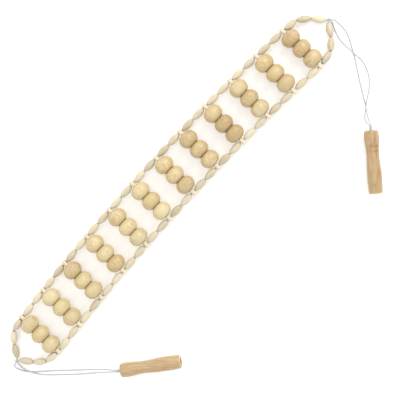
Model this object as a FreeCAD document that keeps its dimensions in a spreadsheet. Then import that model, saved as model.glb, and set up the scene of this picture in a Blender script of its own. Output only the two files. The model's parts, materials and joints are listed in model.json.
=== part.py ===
"""Wooden roller massager: rows of turned rollers laced between two side chains of beads, with two handles.

Lying flat as on a table. +X runs along the strip, +Y to its left side and +Z up. The origin is on the table,
under the middle of the line that joins the centres of the two end rows. Millimetres.
Beads are made along their own X axis. The lower end is the one at -X, the upper end the one at +X.
"""
import FreeCAD, Part
import math
import os

import Sketcher
from FreeCAD import Placement, Rotation, Vector

SIZES = {
    # rows of rollers
    "row_count": 12,
    "rollers_per_row": 3,
    "row_pitch": 46.9,
    "bow_height": 11,
    "roller_radius": 13,
    "roller_width": 18.9,
    "roller_face_radius": 6.5,
    "roller_gap": 0.2,
    "bore_radius": 1.6,
    # olive beads of the side chains and the end loops
    "chain_olive_length": 19,
    "loop_olive_length": 18.5,
    "olive_radius": 4.8,
    "olive_end_radius": 2.4,
    "olive_chamfer": 0.6,
    "bead_gap": 0.8,
    # cross-drilled beads at both ends of every row
    "cross_length": 8.9,
    "cross_radius": 3.2,
    "cross_chamfer": 0.5,
    "cross_hole_radius": 2,
    # end loops: how far each of the three olives turns inward from the strip's own direction
    "loop_turn_first": 7,
    "loop_turn_second": 41,
    "loop_turn_third": 55,
    "loop_kink_gap": 1.3,
    "knot_radius": 2.2,
    "knot_reach": 3.3,
    # cords
    "cord_radius": 0.7,
    "lacing_spacing": 1.55,
    "lacing_bend": 1.4,
    "strand_spacing": 2.2,
    "strand_lead": 4.5,
    # handles: turned profile from the cord's mouth to the open end
    "handle_length": 82.5,
    "mouth_radius": 9.1,
    "bulb_place": 9,
    "bulb_radius": 9.8,
    "waist_place": 29.5,
    "waist_radius": 8.2,
    "swell_place": 53,
    "swell_radius": 9.4,
    "heel_place": 67,
    "heel_radius": 9.5,
    "open_end_radius": 9,
    "handle_axis_height": 9.9,
    "mouth_rounding": 2.4,
    "end_chamfer": 0.5,
    "cord_hole_radius": 2,
    "cavity_radius": 5,
    "cavity_depth": 22,
    "stop_knot_radius": 3.4,
    "mouth_clearance": 1.3,
    # where the handles lie: the cord's pivot at each handle's mouth, and the heading from mouth to open end
    "lower_mouth_x": -221,
    "lower_mouth_y": -111.2,
    "lower_heading": -37.8,
    "upper_mouth_x": 241.3,
    "upper_mouth_y": -137.3,
    "upper_heading": -132.5,
}

# Where each loose strand passes between its knot and its handle:
# (share of the way, mm to the left of the straight line, mm from the table up to its centre)
LOWER_STRANDS = [
    [(-0.02, -8.2, 3.4), (0.04, -13.1, 1.1), (0.13, -14.1, 0.9), (0.37, -9.5, 0.9), (0.60, -5.5, 1.4),
     (0.85, -0.7, 7.0)],
    [(0.035, -7.5, 2.9), (0.145, -14.3, 2.9), (0.24, -16.5, 1.1), (0.47, -13.6, 0.9), (0.66, -9.9, 1.6),
     (0.85, -4.5, 7.0)],
]
UPPER_STRANDS = [
    [(0.02, 5.8, 3.2), (0.08, 11.6, 1.1), (0.17, 15.7, 0.9), (0.34, 14.4, 0.9), (0.60, 8.5, 0.9),
     (0.78, 5.1, 2.6), (0.91, 2.0, 7.4)],
    [(0.03, 2.8, 2.6), (0.08, 2.6, 1.1), (0.20, 4.6, 0.9), (0.335, 14.0, 3.0), (0.43, 21.3, 1.1),
     (0.56, 22.6, 0.9), (0.67, 16.9, 1.6), (0.79, 5.9, 5.2), (0.91, -2.3, 8.4)],
]

doc = FreeCAD.newDocument("roller_massager")
subparts = []


def add_sheet():
    """The driving dimensions, one named cell each."""
    sheet = doc.addObject("Spreadsheet::Sheet", "sizes")
    for number, (alias, value) in enumerate(SIZES.items(), start=1):
        sheet.set(f"A{number}", alias)
        sheet.set(f"B{number}", str(value))
        sheet.setAlias(f"B{number}", alias)
    doc.recompute()
    return sheet


sizes = add_sheet()


def subpart(piece, name):
    """Names a finished piece and lists it as a node of its own."""
    piece.Label = name
    subparts.append(piece)
    return piece


def origin_feature(body, role):
    return next(f for f in body.Origin.OriginFeatures if f.Role == role)


def add_sketch(body, name, plane="XY_Plane"):
    sketch = body.newObject("Sketcher::SketchObject", name)
    sketch.AttachmentSupport = [(origin_feature(body, plane), "")]
    sketch.MapMode = "FlatFace"
    return sketch


def bind(sketch, constraint, formula):
    """Adds a constraint whose value follows the sheet."""
    index = sketch.addConstraint(constraint)
    sketch.setExpression(f"Constraints[{index}]", formula.replace("{", "<<sizes>>.").replace("}", ""))


def draw_half_outline(sketch, half_length, bore, corners, belly=None):
    """A bead's section above its axis: bore line, end faces, any chamfers and a straight or bellied outside.

    corners lists (distance in from the end face, radius) as formulas, from the end face to the outside.
    belly is the formula of the outside arc's radius, or None for a straight outside.
    """
    count = len(corners)
    length = 10.0
    left = [Vector(-length, 1, 0)] + [Vector(-length + i, 2 + i, 0) for i in range(count)]
    right = [Vector(-p.x, p.y, 0) for p in reversed(left)]
    for start, end in zip(left, left[1:]):
        sketch.addGeometry(Part.LineSegment(start, end))
    if belly:
        top = Vector(0, left[-1].y + 2, 0)
        sketch.addGeometry(Part.Arc(right[0], top, left[-1]))
    else:
        sketch.addGeometry(Part.LineSegment(left[-1], right[0]))
    for start, end in zip(right, right[1:]):
        sketch.addGeometry(Part.LineSegment(start, end))
    sketch.addGeometry(Part.LineSegment(right[-1], left[0]))
    outside, last = count, 2 * count + 1
    # sketch arcs run anticlockwise, so the outside arc starts at the right-hand end
    outside_ends = {"left": 2, "right": 1} if belly else {"left": 1, "right": 2}

    def corner(number, side):
        """(geometry, point) of the left or right corner with this number, 0 at the bore."""
        if number == count:
            return outside, outside_ends[side]
        if side == "left":
            return number, 1
        return last - 1 - number, 2

    join = Sketcher.Constraint
    for number in range(count - 1):
        sketch.addConstraint(join("Coincident", number, 2, number + 1, 1))
    sketch.addConstraint(join("Coincident", count - 1, 2, outside, outside_ends["left"]))
    sketch.addConstraint(join("Coincident", outside, outside_ends["right"], outside + 1, 1))
    for number in range(outside + 1, last):
        sketch.addConstraint(join("Coincident", number, 2, number + 1, 1))
    sketch.addConstraint(join("Coincident", last, 2, 0, 1))
    for number in range(count):
        sketch.addConstraint(join("Symmetric", *corner(number, "left"), *corner(number, "right"), -2))
    if belly:
        sketch.addConstraint(join("Horizontal", *corner(count, "left"), *corner(count, "right")))
        sketch.addConstraint(join("PointOnObject", outside, 3, -2))
    else:
        sketch.addConstraint(join("Symmetric", *corner(count, "left"), *corner(count, "right"), -2))
    bind(sketch, join("DistanceX", -1, 1, *corner(0, "right"), length), half_length)
    bind(sketch, join("DistanceY", -1, 1, *corner(0, "right"), 1.0), bore)
    for number, (inset, radius) in enumerate(corners, start=1):
        place = corner(number, "right")
        bind(sketch, join("DistanceY", -1, 1, *place, 1.0 + number), radius)
        if number == 1:
            sketch.addConstraint(join("Vertical", *corner(0, "right"), *place))
        else:
            bind(sketch, join("DistanceX", *place, *corner(0, "right"), 1.0), inset)
    if belly:
        bind(sketch, join("Radius", outside, 20.0), belly)


def add_turned_body(name, **outline):
    """A PartDesign body turned about its X axis from a half outline."""
    body = doc.addObject("PartDesign::Body", name)
    sketch = add_sketch(body, name + "_outline")
    draw_half_outline(sketch, **outline)
    turning = body.newObject("PartDesign::Revolution", name + "_turning")
    turning.Profile = sketch
    turning.ReferenceAxis = (sketch, ["H_Axis"])
    turning.Angle = 360
    sketch.Visibility = False
    return body


def belly_formula(half_length, rise):
    """Radius of the arc that spans twice half_length and rises by rise in the middle."""
    return f"(({half_length})^2 + ({rise})^2) / (2 * ({rise}))"


def add_roller(name):
    """A fat roller, nearly round in outline, with flat faces where it meets its neighbours."""
    return add_turned_body(
        name,
        half_length="{roller_width} / 2",
        bore="{bore_radius}",
        corners=[("0", "{roller_face_radius}")],
        belly=belly_formula("{roller_width} / 2", "{roller_radius} - {roller_face_radius}"),
    )


def add_olive(name, length):
    """A slim olive-shaped bead with chamfered ends. length names its cell in the sheet."""
    half_length = "{" + length + "} / 2"
    return add_turned_body(
        name,
        half_length=half_length,
        bore="{bore_radius}",
        corners=[
            ("0", "{olive_end_radius} - {olive_chamfer}"),
            ("{olive_chamfer}", "{olive_end_radius}"),
        ],
        belly=belly_formula(half_length + " - {olive_chamfer}", "{olive_radius} - {olive_end_radius}"),
    )


def add_cross_bead(name):
    """A short dowel bead: a row's cords run along it, the side chain's cord leaves through its cross hole."""
    body = add_turned_body(
        name,
        half_length="{cross_length} / 2",
        bore="{bore_radius}",
        corners=[
            ("0", "{cross_radius} - {cross_chamfer}"),
            ("{cross_chamfer}", "{cross_radius}"),
        ],
    )
    doc.recompute()
    circle = add_sketch(body, name + "_cross_hole", "XZ_Plane")
    circle.addGeometry(Part.Circle(Vector(0, 0, 0), Vector(0, 0, 1), 1))
    circle.addConstraint(Sketcher.Constraint("Coincident", 0, 3, -1, 1))
    bind(circle, Sketcher.Constraint("Radius", 0, 1.0), "{cross_hole_radius}")
    hole = body.newObject("PartDesign::Pocket", name + "_cross_drilling")
    hole.Profile = circle
    hole.Type = "ThroughAll"
    hole.Midplane = True
    circle.Visibility = False
    return body


def along(start, end):
    """Placement that lays a piece's own X axis from start towards end, with its middle halfway."""
    return Placement((start + end) / 2, Rotation(Vector(1, 0, 0), end - start))


def add_group(name, members):
    """One node that holds several separate beads."""
    group = doc.addObject("Part::Compound", name + "_group")
    group.Links = members
    return subpart(group, name)


# ---------------------------------------------------------------- where things lie

# the most of a stretch between two bends that either bend may take
SHARED_STRETCH = 0.49
LEFT, RIGHT = 1, -1
LOWER, UPPER = -1, 1
ROWS = range(1, int(sizes.row_count) + 1)
ROW_HEIGHT = sizes.roller_radius
ROLLER_PITCH = sizes.roller_width + sizes.roller_gap
CHAIN_OFFSET = (sizes.rollers_per_row * ROLLER_PITCH + sizes.roller_gap + sizes.cross_length) / 2
LOOP_HEIGHT = sizes.olive_radius
END_NAMES = {LOWER: "lower", UPPER: "upper"}
# free cord before and after each of the three olives on one side of an end loop
LOOP_GAPS = [
    (sizes.cross_radius + sizes.bead_gap, sizes.loop_kink_gap / 2),
    (sizes.loop_kink_gap / 2, sizes.bead_gap / 2),
    (sizes.bead_gap / 2, sizes.bead_gap / 2),
]


def row_centre(row):
    """Centre of a row: evenly spaced along X, on a gentle bow that is highest at mid-length."""
    end = (sizes.row_count - 1) / 2 * sizes.row_pitch
    x = (row - (sizes.row_count + 1) / 2) * sizes.row_pitch
    return Vector(x, sizes.bow_height * (1 - (x / end) ** 2), ROW_HEIGHT)


def cross_centre(row, side):
    return row_centre(row) + Vector(0, side * CHAIN_OFFSET, 0)


def cross_turn(row, side):
    """Lays a cross bead along its row. In an end row it also dips halfway towards the end loop's slope."""
    turn = Rotation(Vector(0, 0, 1), 90)
    for end, end_row in ((LOWER, 1), (UPPER, ROWS[-1])):
        if row == end_row:
            centre, lower_end = loop_corners(end, side)[:2]
            slope = math.degrees(math.asin((centre.z - lower_end.z) / centre.distanceToPoint(lower_end)))
            turn = Rotation(Vector(0, 1, 0), end * slope / 2) * turn
    return turn


def olive_between(name, start, end, gap_at_start, length="chain_olive_length"):
    """An olive on the line from start to end, beginning gap_at_start after start."""
    direction = (end - start).normalize()
    first = start + direction * gap_at_start
    olive = add_olive(name, length)
    olive.Placement = along(first, first + direction * getattr(sizes, length))
    return olive


def loop_corners(end, side):
    """Centre line of one side of an end loop, from the end row's cross bead over its three olives."""
    row = 1 if end == LOWER else ROWS[-1]
    turns = [sizes.loop_turn_first, sizes.loop_turn_second, sizes.loop_turn_third]
    reaches = [before + sizes.loop_olive_length + after for before, after in LOOP_GAPS]
    slope = (ROW_HEIGHT - LOOP_HEIGHT) / (reaches[0] + reaches[1])
    falls = [reaches[0] * slope, reaches[1] * slope, 0]
    corners = [cross_centre(row, side)]
    for turn, reach, fall in zip(turns, reaches, falls):
        level = math.sqrt(reach**2 - fall**2)
        angle = math.radians(turn)
        move = Vector(end * level * math.cos(angle), -side * level * math.sin(angle), -fall)
        corners.append(corners[-1] + move)
    return corners


def knot_centre(end):
    """The knot lies on the strip's middle line, just outside the two last olives."""
    last = loop_corners(end, LEFT)[-1]
    return Vector(last.x + end * sizes.knot_reach, 0, LOOP_HEIGHT)


def mouth_point(end):
    """The cord's pivot, just outside a handle's mouth, at the height of the handle lying on the table."""
    if end == LOWER:
        return Vector(sizes.lower_mouth_x, sizes.lower_mouth_y, sizes.handle_axis_height)
    return Vector(sizes.upper_mouth_x, sizes.upper_mouth_y, sizes.handle_axis_height)


def handle_direction(end):
    angle = math.radians(sizes.lower_heading if end == LOWER else sizes.upper_heading)
    return Vector(math.cos(angle), math.sin(angle), 0)


# ---------------------------------------------------------------- cords and knots


def rounded_path(points, radius=None):
    """A wire through points with every bend rounded by radius or, without one, as widely as there is room."""
    edges = []
    start = points[0]
    for before, corner, after in zip(points, points[1:], points[2:]):
        back = (before - corner).normalize()
        ahead = (after - corner).normalize()
        half = back.getAngle(ahead) / 2
        room = SHARED_STRETCH * min(corner.distanceToPoint(before), corner.distanceToPoint(after))
        trim = radius / math.tan(half) if radius else room
        bend_radius = trim * math.tan(half)
        middle = (back + ahead).normalize() * (bend_radius / math.sin(half) - bend_radius)
        bend = Part.Arc(corner + back * trim, corner + middle, corner + ahead * trim)
        edges.append(Part.makeLine(start, corner + back * trim))
        edges.append(bend.toShape())
        start = corner + ahead * trim
    edges.append(Part.makeLine(start, points[-1]))
    return Part.Wire(edges)


def add_cord_solid(name, path):
    """A round cord swept along a wire."""
    spine = doc.addObject("Part::Feature", name + "_path")
    spine.Shape = path
    first = path.OrderedEdges[0]
    begin = path.OrderedVertexes[0].Point
    section = doc.addObject("Part::Circle", name + "_section")
    section.setExpression("Radius", "<<sizes>>.cord_radius")
    section.Placement = Placement(begin, Rotation(Vector(0, 0, 1), first.tangentAt(first.FirstParameter)))
    cord = doc.addObject("Part::Sweep", name)
    cord.Sections = [section]
    cord.Spine = (spine, [f"Edge{number + 1}" for number in range(len(path.Edges))])
    cord.Solid = True
    return cord


def lacing_points(first_side, lift):
    """Way of one lacing cord: lower knot, up one side, across every row to the other side, upper knot."""
    raised = Vector(0, 0, lift)
    side = first_side
    points = [*reversed(loop_corners(LOWER, side)[1:])]
    for row in ROWS:
        points.append(cross_centre(row, side) + raised)
        side = -side
        points.append(cross_centre(row, side) + raised)
    points += loop_corners(UPPER, side)[1:]
    return points


def add_lacing_cord(name, first_side, lift):
    """One long cord; it stays hidden inside the beads it carries."""
    path = rounded_path(lacing_points(first_side, lift), sizes.lacing_bend)
    return subpart(add_cord_solid(name + "_run", path), name)


def add_handle_cord(name, end, strands):
    """The two loose strands from the apex knot to the handle's mouth."""
    knot, mouth = knot_centre(end), mouth_point(end)
    line = Vector(mouth.x - knot.x, mouth.y - knot.y, 0)
    left = Vector(-line.y, line.x, 0).normalize()
    inward = handle_direction(end)
    across = Vector(-inward.y, inward.x, 0)
    solids = []
    for number, waypoints in enumerate(strands):
        passed = [
            Vector(knot.x, knot.y, 0) + line * share + left * sideways + Vector(0, 0, height)
            for share, sideways, height in waypoints
        ]
        leave = (passed[0] - knot).normalize()
        begin = knot + leave * (sizes.knot_radius + sizes.bead_gap)
        beside = across * ((0.5 - number) * sizes.strand_spacing)
        stop = mouth - inward * (sizes.mouth_clearance / 2) + beside
        straight = stop - inward * sizes.strand_lead
        path = rounded_path([begin, *passed, straight, stop])
        solids.append(add_cord_solid(f"{name}_strand_{number + 1}", path))
    return add_group(name, solids)


def add_knot(name, centre, radius):
    knot = doc.addObject("Part::Sphere", name + "_ball")
    knot.setExpression("Radius", f"<<sizes>>.{radius}")
    knot.Placement = Placement(centre, Rotation())
    return knot


# ---------------------------------------------------------------- handles


def add_round_section(body, name, place, radius):
    """A circle across the handle's axis, place millimetres from the mouth."""
    sketch = add_sketch(body, name, "YZ_Plane")
    sketch.setExpression("AttachmentOffset.Base.z", place.replace("{", "<<sizes>>.").replace("}", ""))
    sketch.addGeometry(Part.Circle(Vector(0, 0, 0), Vector(0, 0, 1), 5))
    sketch.addConstraint(Sketcher.Constraint("Coincident", 0, 3, -1, 1))
    bind(sketch, Sketcher.Constraint("Radius", 0, 5.0), radius)
    sketch.Visibility = False
    return sketch


def rim_edge(feature, place, radius):
    """Name of the round edge at this place along the axis with this radius."""
    for number, edge in enumerate(feature.Shape.Edges, start=1):
        is_rim = abs(edge.Length - 2 * math.pi * radius) < 0.01
        if is_rim and abs(edge.CenterOfMass.x - place) < 0.01:
            return f"Edge{number}"
    raise ValueError(f"no round edge at {place} with radius {radius}")


def cut_round(body, name, section, length):
    """Drills from a section sketch along +X by a length formula, and makes sure that it removed wood."""
    before = body.Tip.Shape.Volume
    pocket = body.newObject("PartDesign::Pocket", name)
    pocket.Profile = section
    pocket.Reversed = True
    pocket.setExpression("Length", length.replace("{", "<<sizes>>.").replace("}", ""))
    doc.recompute()
    if body.Tip.Shape.Volume >= before:
        raise ValueError(f"{name} cut nothing")


def add_handle(name, end):
    """A turned grip: bulb at the mouth, waist, long swell, cord hole, and a cavity for the stop knot."""
    body = doc.addObject("PartDesign::Body", name)
    stations = [
        ("mouth", "0", "{mouth_radius}"),
        ("bulb", "{bulb_place}", "{bulb_radius}"),
        ("waist", "{waist_place}", "{waist_radius}"),
        ("swell", "{swell_place}", "{swell_radius}"),
        ("heel", "{heel_place}", "{heel_radius}"),
        ("open_end", "{handle_length}", "{open_end_radius}"),
    ]
    sections = [add_round_section(body, f"{name}_{part}", place, radius) for part, place, radius in stations]
    turning = body.newObject("PartDesign::AdditiveLoft", name + "_turning")
    turning.Profile = sections[0]
    turning.Sections = sections[1:]
    doc.recompute()
    hole = add_round_section(body, name + "_cord_hole", "0", "{cord_hole_radius}")
    cut_round(body, name + "_drilling", hole, "{handle_length}")
    cavity = add_round_section(body, name + "_cavity", "{handle_length} - {cavity_depth}", "{cavity_radius}")
    cut_round(body, name + "_boring", cavity, "{cavity_depth}")
    bored = body.Tip
    rounding = body.newObject("PartDesign::Fillet", name + "_mouth_rounding")
    rounding.Base = (bored, [rim_edge(bored, 0, sizes.mouth_radius)])
    rounding.setExpression("Radius", "<<sizes>>.mouth_rounding")
    doc.recompute()
    far_rims = [
        rim_edge(rounding, sizes.handle_length, sizes.open_end_radius),
        rim_edge(rounding, sizes.handle_length, sizes.cavity_radius),
    ]
    chamfer = body.newObject("PartDesign::Chamfer", name + "_end_chamfer")
    chamfer.Base = (rounding, far_rims)
    chamfer.setExpression("Size", "<<sizes>>.end_chamfer")
    direction = handle_direction(end)
    mouth = mouth_point(end) + direction * sizes.mouth_clearance
    body.Placement = Placement(mouth, Rotation(Vector(1, 0, 0), direction))
    return subpart(body, name)


def add_cord_end(name, end):
    """The strands inside the handle and the knot that stops them from pulling out."""
    direction = handle_direction(end)
    across = Vector(-direction.y, direction.x, 0)
    mouth = mouth_point(end)
    knot_place = sizes.mouth_clearance + sizes.handle_length - sizes.cavity_depth + sizes.stop_knot_radius
    knot = add_knot(name, mouth + direction * (knot_place + sizes.bead_gap), "stop_knot_radius")
    strands = []
    for sideways in (0.5, -0.5):
        start = mouth + direction * (sizes.mouth_clearance / 2) + across * sideways * sizes.strand_spacing
        finish = start + direction * (knot_place - sizes.mouth_clearance)
        path = Part.Wire([Part.makeLine(start, finish)])
        strands.append(add_cord_solid(f"{name}_strand_{'left' if sideways > 0 else 'right'}", path))
    joined = doc.addObject("Part::MultiFuse", name + "_joined")
    joined.Shapes = [knot, *strands]
    return subpart(joined, name)


# ---------------------------------------------------------------- the whole massager

ROW_TURN = Rotation(Vector(0, 0, 1), 90)
ROLLER_SIDES = {"left": 1, "middle": 0, "right": -1}

for row in ROWS:
    for side_name, place in ROLLER_SIDES.items():
        roller = subpart(add_roller(f"roller_{row:02d}_{side_name}_body"), f"roller_{row:02d}_{side_name}")
        roller.Placement = Placement(row_centre(row) + Vector(0, place * ROLLER_PITCH, 0), ROW_TURN)

for row in ROWS:
    beads = []
    for side_name, side in (("left", LEFT), ("right", RIGHT)):
        cross = add_cross_bead(f"cross_bead_{row:02d}_{side_name}")
        cross.Placement = Placement(cross_centre(row, side), cross_turn(row, side))
        beads.append(cross)
        for neighbour in (row - 1, row + 1):
            if neighbour in ROWS:
                way = "lower" if neighbour < row else "upper"
                beads.append(
                    olive_between(
                        f"olive_{row:02d}_{side_name}_{way}",
                        cross_centre(row, side),
                        cross_centre(neighbour, side),
                        sizes.cross_radius + sizes.bead_gap,
                    )
                )
    add_group(f"side_beads_row_{row:02d}", beads)

for end, strands in ((LOWER, LOWER_STRANDS), (UPPER, UPPER_STRANDS)):
    end_name = END_NAMES[end]
    olives = []
    for side_name, side in (("left", LEFT), ("right", RIGHT)):
        corners = loop_corners(end, side)
        for number, (start, finish, gaps) in enumerate(zip(corners, corners[1:], LOOP_GAPS), start=1):
            name = f"{end_name}_loop_olive_{side_name}_{number}"
            olives.append(olive_between(name, start, finish, gaps[0], "loop_olive_length"))
    add_group(f"{end_name}_loop_beads", olives)
    subpart(add_knot(f"{end_name}_apex_knot", knot_centre(end), "knot_radius"), f"{end_name}_apex_knot")
    add_handle_cord(f"{end_name}_handle_cord", end, strands)
    add_cord_end(f"{end_name}_stop_knot", end)
    add_handle(f"{end_name}_handle", end)

CORD_LIFT = sizes.lacing_spacing / 2
add_lacing_cord("lacing_cord_one", LEFT, CORD_LIFT)
add_lacing_cord("lacing_cord_two", RIGHT, -CORD_LIFT)

doc.recompute()

for thing in doc.Objects:
    if "Invalid" in thing.State or "Error" in thing.State:
        raise RuntimeError(f"{thing.Label} failed to recompute: {thing.State}")
for piece in subparts:
    if piece.Shape.isNull() or not piece.Shape.isValid():
        raise RuntimeError(f"{piece.Label} has no valid shape")

os.makedirs("parts", exist_ok=True)
for piece in subparts:
    piece.Shape.exportStep(f"parts/{piece.Label}.step")
print(f"{len(subparts)} nodes, {sum(len(piece.Shape.Solids) for piece in subparts)} solids")
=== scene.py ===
"""Looks of the wooden roller massager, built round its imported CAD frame.

The frame is the CAD's: +X runs along the strip, +Y to its left side and +Z up from the table, in metres.
Beads and cords are shaped in millimetres and brought to metres as their meshes are made.
"""

import json
import math
import random

import bmesh
import bpy
from mathutils import Matrix, Vector, noise


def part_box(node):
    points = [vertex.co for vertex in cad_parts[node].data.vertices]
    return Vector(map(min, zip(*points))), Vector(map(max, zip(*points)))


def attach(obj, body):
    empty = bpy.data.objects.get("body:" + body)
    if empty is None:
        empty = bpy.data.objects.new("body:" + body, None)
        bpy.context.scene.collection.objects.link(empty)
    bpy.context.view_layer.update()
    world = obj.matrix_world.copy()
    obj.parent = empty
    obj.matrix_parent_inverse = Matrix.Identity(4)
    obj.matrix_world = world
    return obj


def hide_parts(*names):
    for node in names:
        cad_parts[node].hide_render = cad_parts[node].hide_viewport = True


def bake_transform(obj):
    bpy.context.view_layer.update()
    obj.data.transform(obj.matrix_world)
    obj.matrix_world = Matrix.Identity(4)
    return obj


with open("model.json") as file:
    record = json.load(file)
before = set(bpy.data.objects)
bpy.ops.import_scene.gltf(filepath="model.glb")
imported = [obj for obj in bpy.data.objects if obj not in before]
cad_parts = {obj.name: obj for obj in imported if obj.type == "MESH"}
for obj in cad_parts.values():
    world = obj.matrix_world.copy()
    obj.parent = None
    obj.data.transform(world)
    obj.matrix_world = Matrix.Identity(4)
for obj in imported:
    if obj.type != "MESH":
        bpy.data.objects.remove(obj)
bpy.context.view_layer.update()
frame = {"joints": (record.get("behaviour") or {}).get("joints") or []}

MM = 0.001
LOWER, UPPER = -1, 1
LEFT, RIGHT = 1, -1
END_NAMES = {LOWER: "lower", UPPER: "upper"}
ROW_COUNT = 12
ROWS = range(1, ROW_COUNT + 1)
# the row whose body carries the CAD's two long lacing cords
LACING_ROW = 6
JOINTS = {joint["name"]: joint for joint in frame["joints"]}

# ---------------------------------------------------------------- sizes in millimetres

ROLLER_HALF_WIDTH = 9.45
ROLLER_RADIUS = 13.0
ROLLER_FACE_RADIUS = 6.5
ROLLER_BORE_LIP = 0.35
BORE_RADIUS = 1.6
BEAD_BORE_LIP = 0.2
CHAIN_OLIVE_LENGTH = 19.0
LOOP_OLIVE_LENGTH = 18.5
OLIVE_RADIUS = 4.8
OLIVE_END_RADIUS = 2.4
EDGE_ROUNDING = 0.5
BEAD_GAP = 0.8
CROSS_HALF_LENGTH = 4.45
CROSS_RADIUS = 3.2
CROSS_ROUNDING = 0.4
CROSS_HOLE_RADIUS = 1.3
CHAIN_OFFSET = 33.2
# how far each of an end loop's three olives turns inward from the strip's own direction, in degrees
LOOP_TURNS = (7, 41, 55)
LOOP_KINK_GAP = 1.3
CORD_RADIUS = 0.8
# the loose strands have fluffed up a little
STRAND_RADIUS = 0.95
TWIST_PITCH = 5.2
PLIES = 3
PLY_DEPTH = 0.2
KNOT_PITCH = 4.0
STOP_KNOT_CORD_RADIUS = 0.85
STOP_KNOT_SIZE = 0.86
# how far each of the two cords in a row's bores lies above or below the bores' middle
LACING_LIFT = 0.775
# the two strands side by side in a handle, straight from STRAND_LEAD before the joint at its mouth
STRAND_SPACING = 2.0
STRAND_LEAD = 4.5
MOUTH_CLEARANCE = 1.3

HANDLE_LENGTH = 82.5
# (place from the mouth, radius) of the turned outside
HANDLE_OUTLINE = [(0, 9.1), (9, 9.8), (29.5, 8.2), (53, 9.4), (67, 9.5), (82.5, 9.0)]
HANDLE_ROUNDING = 2.4
FAR_EDGE_EASE = 0.6
CORD_HOLE_RADIUS = 2.0
CAVITY_RADIUS = 5.0
CAVITY_DEPTH = 22.0
STOP_KNOT_PLACE = HANDLE_LENGTH - CAVITY_DEPTH + 4.2

# how finely round things are cut
ROLLER_RINGS, ROLLER_SIDES = 44, 72
OLIVE_RINGS, BEAD_SIDES = 24, 36
CROSS_HOLE_SIDES = 28
HANDLE_SIDES = 96
CORD_SIDES, KNOT_SIDES, HIDDEN_CORD_SIDES = 18, 14, 12

# Where each loose strand passes between its knot and its handle:
# (share of the way, mm to the left of the straight line, mm above the table)
STRAND_WAYS = {
    LOWER: [
        [(-0.02, -8.2, 3.4), (0.04, -13.1, 1.1), (0.13, -14.1, 0.9), (0.37, -9.5, 0.9), (0.60, -5.5, 1.4),
         (0.85, -0.7, 7.0)],
        [(0.035, -7.5, 2.9), (0.145, -14.3, 2.9), (0.24, -16.5, 1.1), (0.47, -13.6, 0.9), (0.66, -9.9, 1.6),
         (0.85, -4.5, 7.0)],
    ],
    UPPER: [
        [(0.02, 5.8, 3.2), (0.08, 11.6, 1.1), (0.17, 15.7, 0.9), (0.34, 14.4, 0.9), (0.60, 8.5, 0.9),
         (0.78, 5.1, 2.6), (0.91, 2.0, 7.4)],
        [(0.03, 2.8, 2.6), (0.08, 2.6, 1.1), (0.20, 4.6, 0.9), (0.335, 14.0, 3.0), (0.43, 21.3, 1.1),
         (0.56, 22.6, 0.9), (0.67, 16.9, 1.6), (0.79, 5.9, 5.2), (0.91, -2.3, 8.4)],
    ],
}

# ---------------------------------------------------------------- how the pieces differ from each other

# hand sanding leaves turned wood uneven by about this many millimetres
BEAD_UNEVENNESS = 0.12
HANDLE_UNEVENNESS = 0.15

# ranges of the random draws: distance from the log's pith in millimetres, lightness, and how yellow
ROLLER_PITH, OLIVE_PITH, HANDLE_PITH = (6, 45), (5, 30), (12, 26)
OLIVE_TONES, OLIVE_WARMTHS = (0.1, 0.75), (0.0, 0.9)
CROSS_TONES, CROSS_WARMTHS = (0.85, 1.1), (0.7, 1.0)
ROLLER_WARMTHS = (0.1, 1.1)
HANDLE_WARMTH = 0.7
# a roller's lightness is its own tone, painted shade included, times the span, plus a little by chance
ROLLER_TONE_SPAN, ROLLER_TONE_CHANCE = 0.72, (0.1, 0.16)

# How light the left, middle and right roller of each row are, from 0 for the darkest to 1 for the lightest.
# Besides the wood's own tone this holds painted shade, which darkens the rows towards the upper end.
ROLLER_TONES_AND_SHADE = [
    (0.6, 0.6, 0.6), (1.0, 0.8, 0.6), (0.3, 0.7, 0.6), (0.8, 0.8, 0.4), (0.6, 0.9, 0.7), (0.9, 0.6, 1.0),
    (0.6, 0.7, 0.2), (0.2, 0.3, 0.5), (0.5, 0.0, 0.0), (0.5, 0.2, 0.6), (0.5, 0.5, 0.3), (0.0, 0.2, 0.3),
]


# ---------------------------------------------------------------- outlines and solids of one bead


def bulged(half_length, end_radius, middle_radius, steps):
    """Outline from -half_length to +half_length that rises as one round arc."""
    rise = middle_radius - end_radius
    arc_radius = (half_length**2 + rise**2) / (2 * rise)
    half_angle = math.asin(half_length / arc_radius)
    outline = []
    for step in range(steps + 1):
        angle = half_angle * (2 * step / steps - 1)
        drop = arc_radius * (1 - math.cos(angle))
        outline.append((arc_radius * math.sin(angle), middle_radius - drop))
    return outline


def with_bore(outside, lip):
    """Closes an outline through the cord's bore, whose two rims are eased by lip."""
    first, last = outside[0][0], outside[-1][0]
    spans = 6
    far_rim = [(last, BORE_RADIUS + lip), (last - lip, BORE_RADIUS)]
    middle = [(last + (first - last) * step / spans, BORE_RADIUS) for step in range(1, spans)]
    near_rim = [(first + lip, BORE_RADIUS), (first, BORE_RADIUS + lip)]
    return outside + far_rim + middle + near_rim


def lathe(outline, sides):
    """Points and faces of a closed outline of (place along the axis, radius) turned about X."""
    points, faces = [], []
    for place, radius in outline:
        for step in range(sides):
            angle = 2 * math.pi * step / sides
            points.append(Vector((place, radius * math.cos(angle), radius * math.sin(angle))))
    for ring in range(len(outline)):
        here = ring * sides
        beyond = (ring + 1) % len(outline) * sides
        for step in range(sides):
            after = (step + 1) % sides
            faces.append((here + step, beyond + step, beyond + after, here + after))
    return points, faces


def roller_solid():
    outside = bulged(ROLLER_HALF_WIDTH, ROLLER_FACE_RADIUS, ROLLER_RADIUS, ROLLER_RINGS)
    return lathe(with_bore(outside, ROLLER_BORE_LIP), ROLLER_SIDES)


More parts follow.
